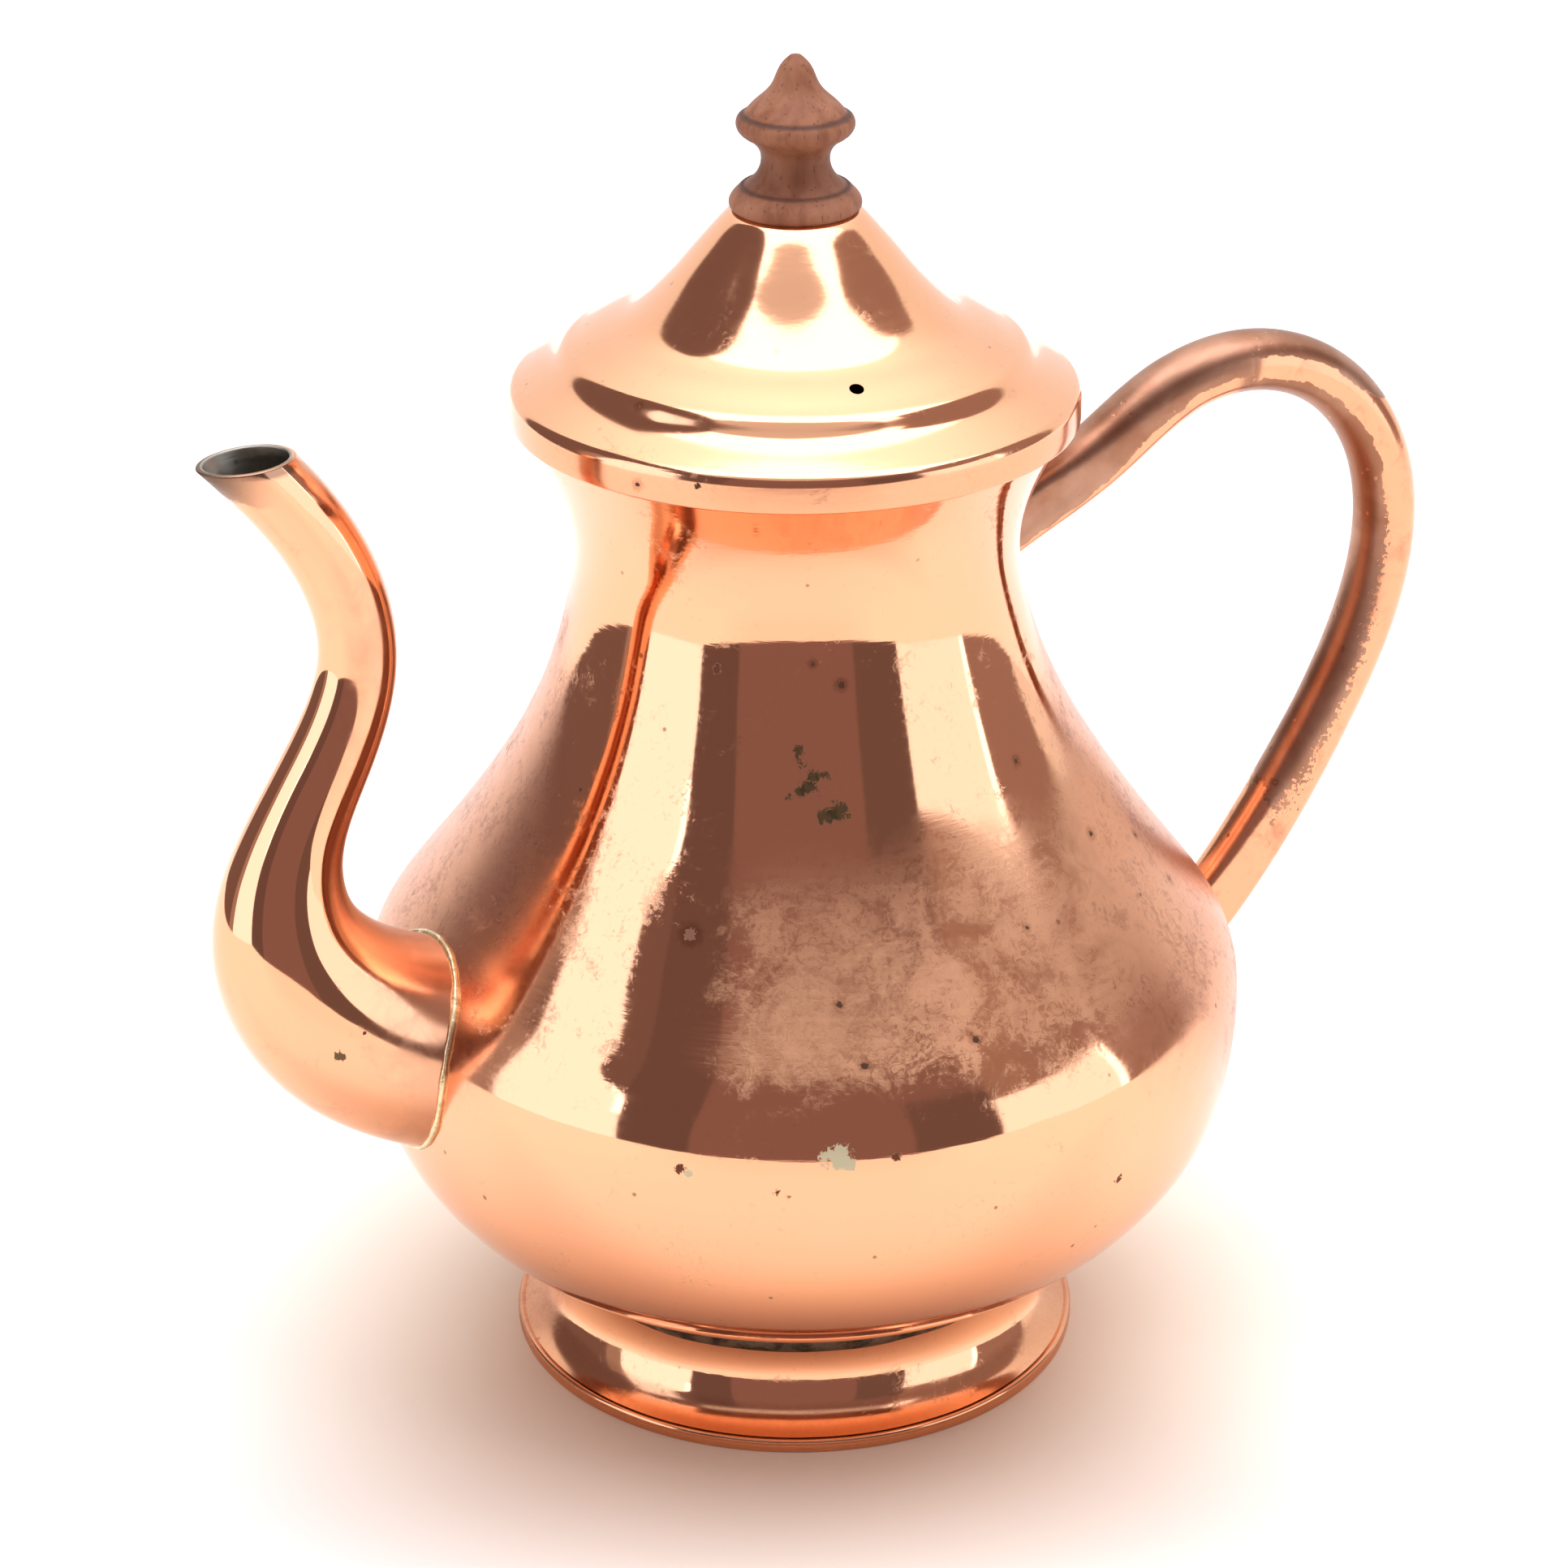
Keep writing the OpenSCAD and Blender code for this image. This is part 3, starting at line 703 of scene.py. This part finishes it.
end = last - crossing(back_path, back_dir, math.pi - theta, 0, 40, in_pot(0.6))
rings = [tube_points(handle_path, handle_dir, start + (end - start) * s, theta)
         for s in np.linspace(0, 1, 240)]
handle = mesh_object("handle_tube", np.concatenate(rings), grid_faces(len(rings), SIDES), [M_HANDLE])
upper_at = crossing(handle_path, handle_dir, theta, 0, 28, in_pot(-0.2))
upper = tube_points(handle_path, handle_dir, upper_at, theta, 0.1)
lower_at = last - crossing(back_path, back_dir, math.pi - theta, 0, 40, in_pot(-0.2))
lower = tube_points(handle_path, handle_dir, lower_at, theta, 0.1)
upper_bead = seam_bead("handle_top_seam", upper, 0.5, M_BRASS, 0.3)
lower_bead = seam_bead("handle_foot_seam", lower, 0.5, M_BRASS, 0.3)

# Lid
lid_outer = join(
    natural([[9.4, 222.3], [11.4, 222.25], [12.6, 221.4], [14.9, 218.95], [18.5, 214.8], [22.1, 210.5],
             [24.8, 207.6], [27.6, 204.9], [30.2, 202.95], [32.6, 201.85], [35, 200.9], [37.4, 199.75],
             [39.6, 198.65], [40.7, 198.1], [41.5, 197.4], [43, 195.45], [44.9, 193.95], [47.1, 192.72],
             [49.2, 191.55]], 8),
    arc(48.7, 189.2, 2.3, 60, 0, 10))
lid_inner = beside(lid_outer, -1.0)
lid_profile = join([[2.1, 222.3], [6, 222.3]], lid_outer, [[51.0, 186.5], [51.0, 184.9]],
                   arc(50.5, 184.9, 0.5, 0, -180, 6)[1:], [[50.0, 186.5]], lid_inner[::-1],
                   [[6, 221.3], [2.1, 221.3]])
lid = revolve("lid_cover", lid_profile, [M_LID, M_TIN], inner_from=len(lid_outer) + 7, closed=True, sharp=48)
vent = math.radians(-98)
tilt = math.radians(20)
drill(lid, [(35 * math.cos(vent), 35 * math.sin(vent), 200.2)], 1.3, 10,
      (math.sin(tilt) * math.cos(vent), math.sin(tilt) * math.sin(vent), math.cos(tilt)))

# Finial
c = 222.3                 # height of the lid's crown in mm
knob_profile = join(
    [[0, c + 0.02], [6, c + 0.02]],
    natural([[10.9, c], [11.6, c + 0.7], [11.7, c + 1.6], [10.9, c + 3], [9.6, c + 4.3]], 6),
    natural([[9.2, c + 4.2], [7.2, c + 6], [6.1, c + 8.6], [6.4, c + 10.8], [8, c + 12.7]], 8),
    natural([[8.4, c + 12.9], [9.9, c + 14], [10.45, c + 15.3], [9.9, c + 16.8], [9.3, c + 17.1]], 8),
    natural([[9, c + 17.3], [7.5, c + 19], [5.4, c + 20.9], [4.1, c + 22.6], [3.3, c + 24.5], [2.4, c + 26.1],
             [1, 249.8]], 8), [[0.5, 249.96], [0, 250]])
knob = revolve("finial_knob", knob_profile, [M_WALNUT], sharp=40)

for ob, body in ((shell, POT), (foot, POT), (foot_bead, POT), (spout, POT), (spout_bead, POT), (handle, POT),
                 (upper_bead, POT), (lower_bead, POT), (lid, LID), (knob, LID)):
    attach(ob, body)
for ob, node, slot in ((shell, "body_shell", "copper"), (foot, "foot_ring", "copper"),
                       (foot_bead, "foot_solder", "grey_solder"), (spout, "spout", "copper"),
                       (spout_bead, "spout_solder", "brass_solder"), (handle, "handle", "copper"),
                       (upper_bead, "handle_upper_solder", "brass_solder"),
                       (lower_bead, "handle_lower_solder", "brass_solder"), (lid, "lid_shell", "copper"),
                       (knob, "finial", "walnut")):
    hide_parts(node)
for node, mat in (("lid_bezel", M_TIN), ("lid_bezel_solder", M_GREY), ("finial_screw", M_STEEL),
                  ("finial_washer", M_STEEL)):
    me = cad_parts[node].data
    me.materials.clear()
    me.materials.append(mat)

# ---- studio ----

scene = bpy.context.scene
scene.view_settings.view_transform = "Standard"

# Bright and dark panels, shaped until the copper's reflections resembled the photograph's. They are
# placed by azimuth and elevation from its camera. The camera itself sees plain white.
world = bpy.data.worlds.new("studio")
scene.world = world
world.use_nodes = True
t = Tree(world.node_tree)
aimed = t.node("ShaderNodeVectorRotate", {"Vector": t.node("ShaderNodeTexCoord").outputs["Generated"],
                                          "Angle": math.radians(PHOTO_TURN)}, rotation_type="Z_AXIS").outputs[0]
xyz = t.node("ShaderNodeSeparateXYZ", {0: aimed})
az = t.mul(t.math("ARCTAN2", xyz.outputs[0], t.mul(xyz.outputs[1], -1.0)), 180 / math.pi)
el = t.mul(t.math("ARCSINE", xyz.outputs[2]), 180 / math.pi)


def patch(az0, az1, el0, el1, soft_az=2.0, soft_el=2.0):
    return t.mul(t.band(az, az0, az1, soft_az), t.band(el, el0, el1, soft_el))


def cap(turn_deg, reach, soft=2.0):
    """Everything within an angle of a level direction."""
    lo, hi = (math.cos(math.radians(reach + k * soft / 2)) for k in (1, -1))
    return t.step(t.vmath("DOT_PRODUCT", sky, aim(turn_deg)), lo, hi)


sky = t.node("ShaderNodeTexCoord").outputs["Generated"]
# Right edge of the left panel, as azimuth over elevation
BULGE = [(-40, -47.5), (24, -48.3), (28.5, -49.5), (31.5, -54), (34, -59.5), (37, -61), (41, -59), (60, -56)]
curve = t.node("ShaderNodeFloatCurve", {"Factor": 1.0, "Value": t.step_linear(el, -40, 60)})
points = curve.mapping.curves[0].points
for k, (e, a) in enumerate(BULGE):
    place = ((e + 40) / 100, (a + 70) / 30)
    point = points[k] if k < 2 else points.new(*place)
    point.location = place
curve.mapping.update()
panel_edge = t.add(t.mul(curve.outputs[0], 30.0), -70.0)
inside = t.add(az, t.mul(panel_edge, -1.0))
left_of_edge = t.step(inside, 0.5, -0.5)

CEILING = (3.3, 3.45, 3.9)
PANEL = (1.75, 1.92, 2.25)
STRIP = (3.0, 3.2, 3.8)
NIGHT = (0.17, 0.125, 0.135)
light = t.mix(t.step(el, 22, 75), (1.06, 1.10, 1.14), (1.95, 2.05, 2.2))
light = t.mix(t.mul(cap(0, 102.7), t.step(el, 22, 42)), light, CEILING)
light = t.mix(cap(-4, 68.3, 2.5), light, (0.84, 0.86, 0.92))
light = t.mix(t.mul(cap(-92, 62), patch(-130, -49, -95, 80, 2.5, 2)), light, (0.21, 0.155, 0.16))
light = t.mix(t.mul(cap(76, 53.5), patch(64, 119, -95, 80, 2.5, 2)), light, (0.38, 0.29, 0.29))
light = t.mix(patch(49, 66, -95, 47, 1.5, 4), light, (0.40, 0.30, 0.29))
light = t.mix(patch(-50, 51, -95, 48, 1.0, 5), light, (0.27, 0.185, 0.20))
light = t.mix(patch(-50, -28, -95, 47, 1.2, 6), light, NIGHT)
light = t.mix(patch(27, 51, -95, 34, 1.5, 8), light, (0.18, 0.135, 0.14))
light = t.mix(t.mul(left_of_edge, patch(-83, -40, -95, 44, 1.2, 4)), light, PANEL)
light = t.mix(patch(50, 88, -95, 24.5, 1.2, 2), light, (1.6, 1.75, 2.0))
light = t.mix(t.mul(t.band(inside, -2.2, 0.2, 0.6), t.band(el, 17, 31, 3)), light, STRIP)
light = t.mix(patch(85.8, 88.4, -8, 24, 0.8, 3), light, STRIP)
light = t.mix(patch(-92, -83, -95, 30, 2, 4), light, (0.42, 0.35, 0.35))
seen = t.node("ShaderNodeLightPath").outputs["Is Camera Ray"]
soft = t.mul(t.node("ShaderNodeLightPath").outputs["Is Diffuse Ray"], 0.34)
light = t.node("ShaderNodeVectorMath", {0: light, "Scale": t.add(soft, 1.0)}, operation="SCALE").outputs[0]
final = t.mix(seen, light, (1.0, 1.0, 0.995))
background = t.node("ShaderNodeBackground", {"Color": final, "Strength": 1.0})
t.tree.links.new(background.outputs[0], t.node("ShaderNodeOutputWorld").inputs[0])

# The floor's colour is painted with light and shade: a painted warm shade near the pot, tinted like the copper's
# light, a painted shade on the side towards the camera and a painted contact shadow in front of the foot. Its
# far parts let glossy rays through, so that the copper reflects the world's panels there.
me = bpy.data.meshes.new("floor")
bm = bmesh.new()
bmesh.ops.create_grid(bm, x_segments=8, y_segments=8, size=4.0)
bm.to_mesh(me)
bm.free()
floor = bpy.data.objects.new("floor", me)
scene.collection.objects.link(floor)
floor_mat = bpy.data.materials.new("floor_with_painted_shade")
floor_mat.use_nodes = True
t = Tree(floor_mat.node_tree)
where = t.node("ShaderNodeTexCoord").outputs["Object"]
near = t.vmath("LENGTH", where)
toward = t.vmath("DOT_PRODUCT", where, aim(0))
to_right = t.vmath("DOT_PRODUCT", where, aim(90))
# Painted warm shade near the pot, tinted like the light the copper throws there.
tone = t.mix(t.step(near, 0.055, 0.16), (0.90, 0.78, 0.62), (0.90, 0.885, 0.84))
ahead = t.math("DIVIDE", toward, t.math("MAXIMUM", near, 0.01))
# Painted shade: the floor darker on the side towards the camera.
painted_front_shade = t.mul(t.step(toward, 0.11, 0.42), t.step(ahead, 0.75, 0.97))
tone = t.mix(t.mul(painted_front_shade, 0.22), tone, (0.66, 0.46, 0.34))
# Painted contact shadow on the floor just in front of the foot.
painted_contact_shadow = t.mul(t.step(toward, 0.125, 0.06), t.step(ahead, 0.2, 0.9))
tone = t.mix(t.mul(painted_contact_shadow, 0.32), tone, (0.30, 0.12, 0.06))
path = t.node("ShaderNodeLightPath")
past = t.math("MAXIMUM", t.step(toward, 0.645, 0.655), t.step(to_right, -0.70, -0.71))
past = t.math("MAXIMUM", past, t.step(to_right, 1.10, 1.11))
far_front = t.mul(past, path.outputs["Is Glossy Ray"])
diffuse = t.node("ShaderNodeBsdfDiffuse", {"Color": tone})
open_end = t.node("ShaderNodeMixShader", {0: far_front, 1: diffuse.outputs[0],
                                          2: t.node("ShaderNodeBsdfTransparent").outputs[0]})
t.tree.links.new(open_end.outputs[0], t.node("ShaderNodeOutputMaterial").inputs[0])
me.materials.append(floor_mat)

camera_data = bpy.data.cameras.new("camera")
camera_data.lens = 104.35
camera_data.sensor_width = 36
camera_data.clip_start = 0.01
camera = bpy.data.objects.new("camera", camera_data)
camera.location = (-0.3270, -0.6924, 0.4622)
camera.rotation_euler = (math.radians(65.382), 0, math.radians(-PHOTO_TURN))
scene.collection.objects.link(camera)
scene.camera = camera
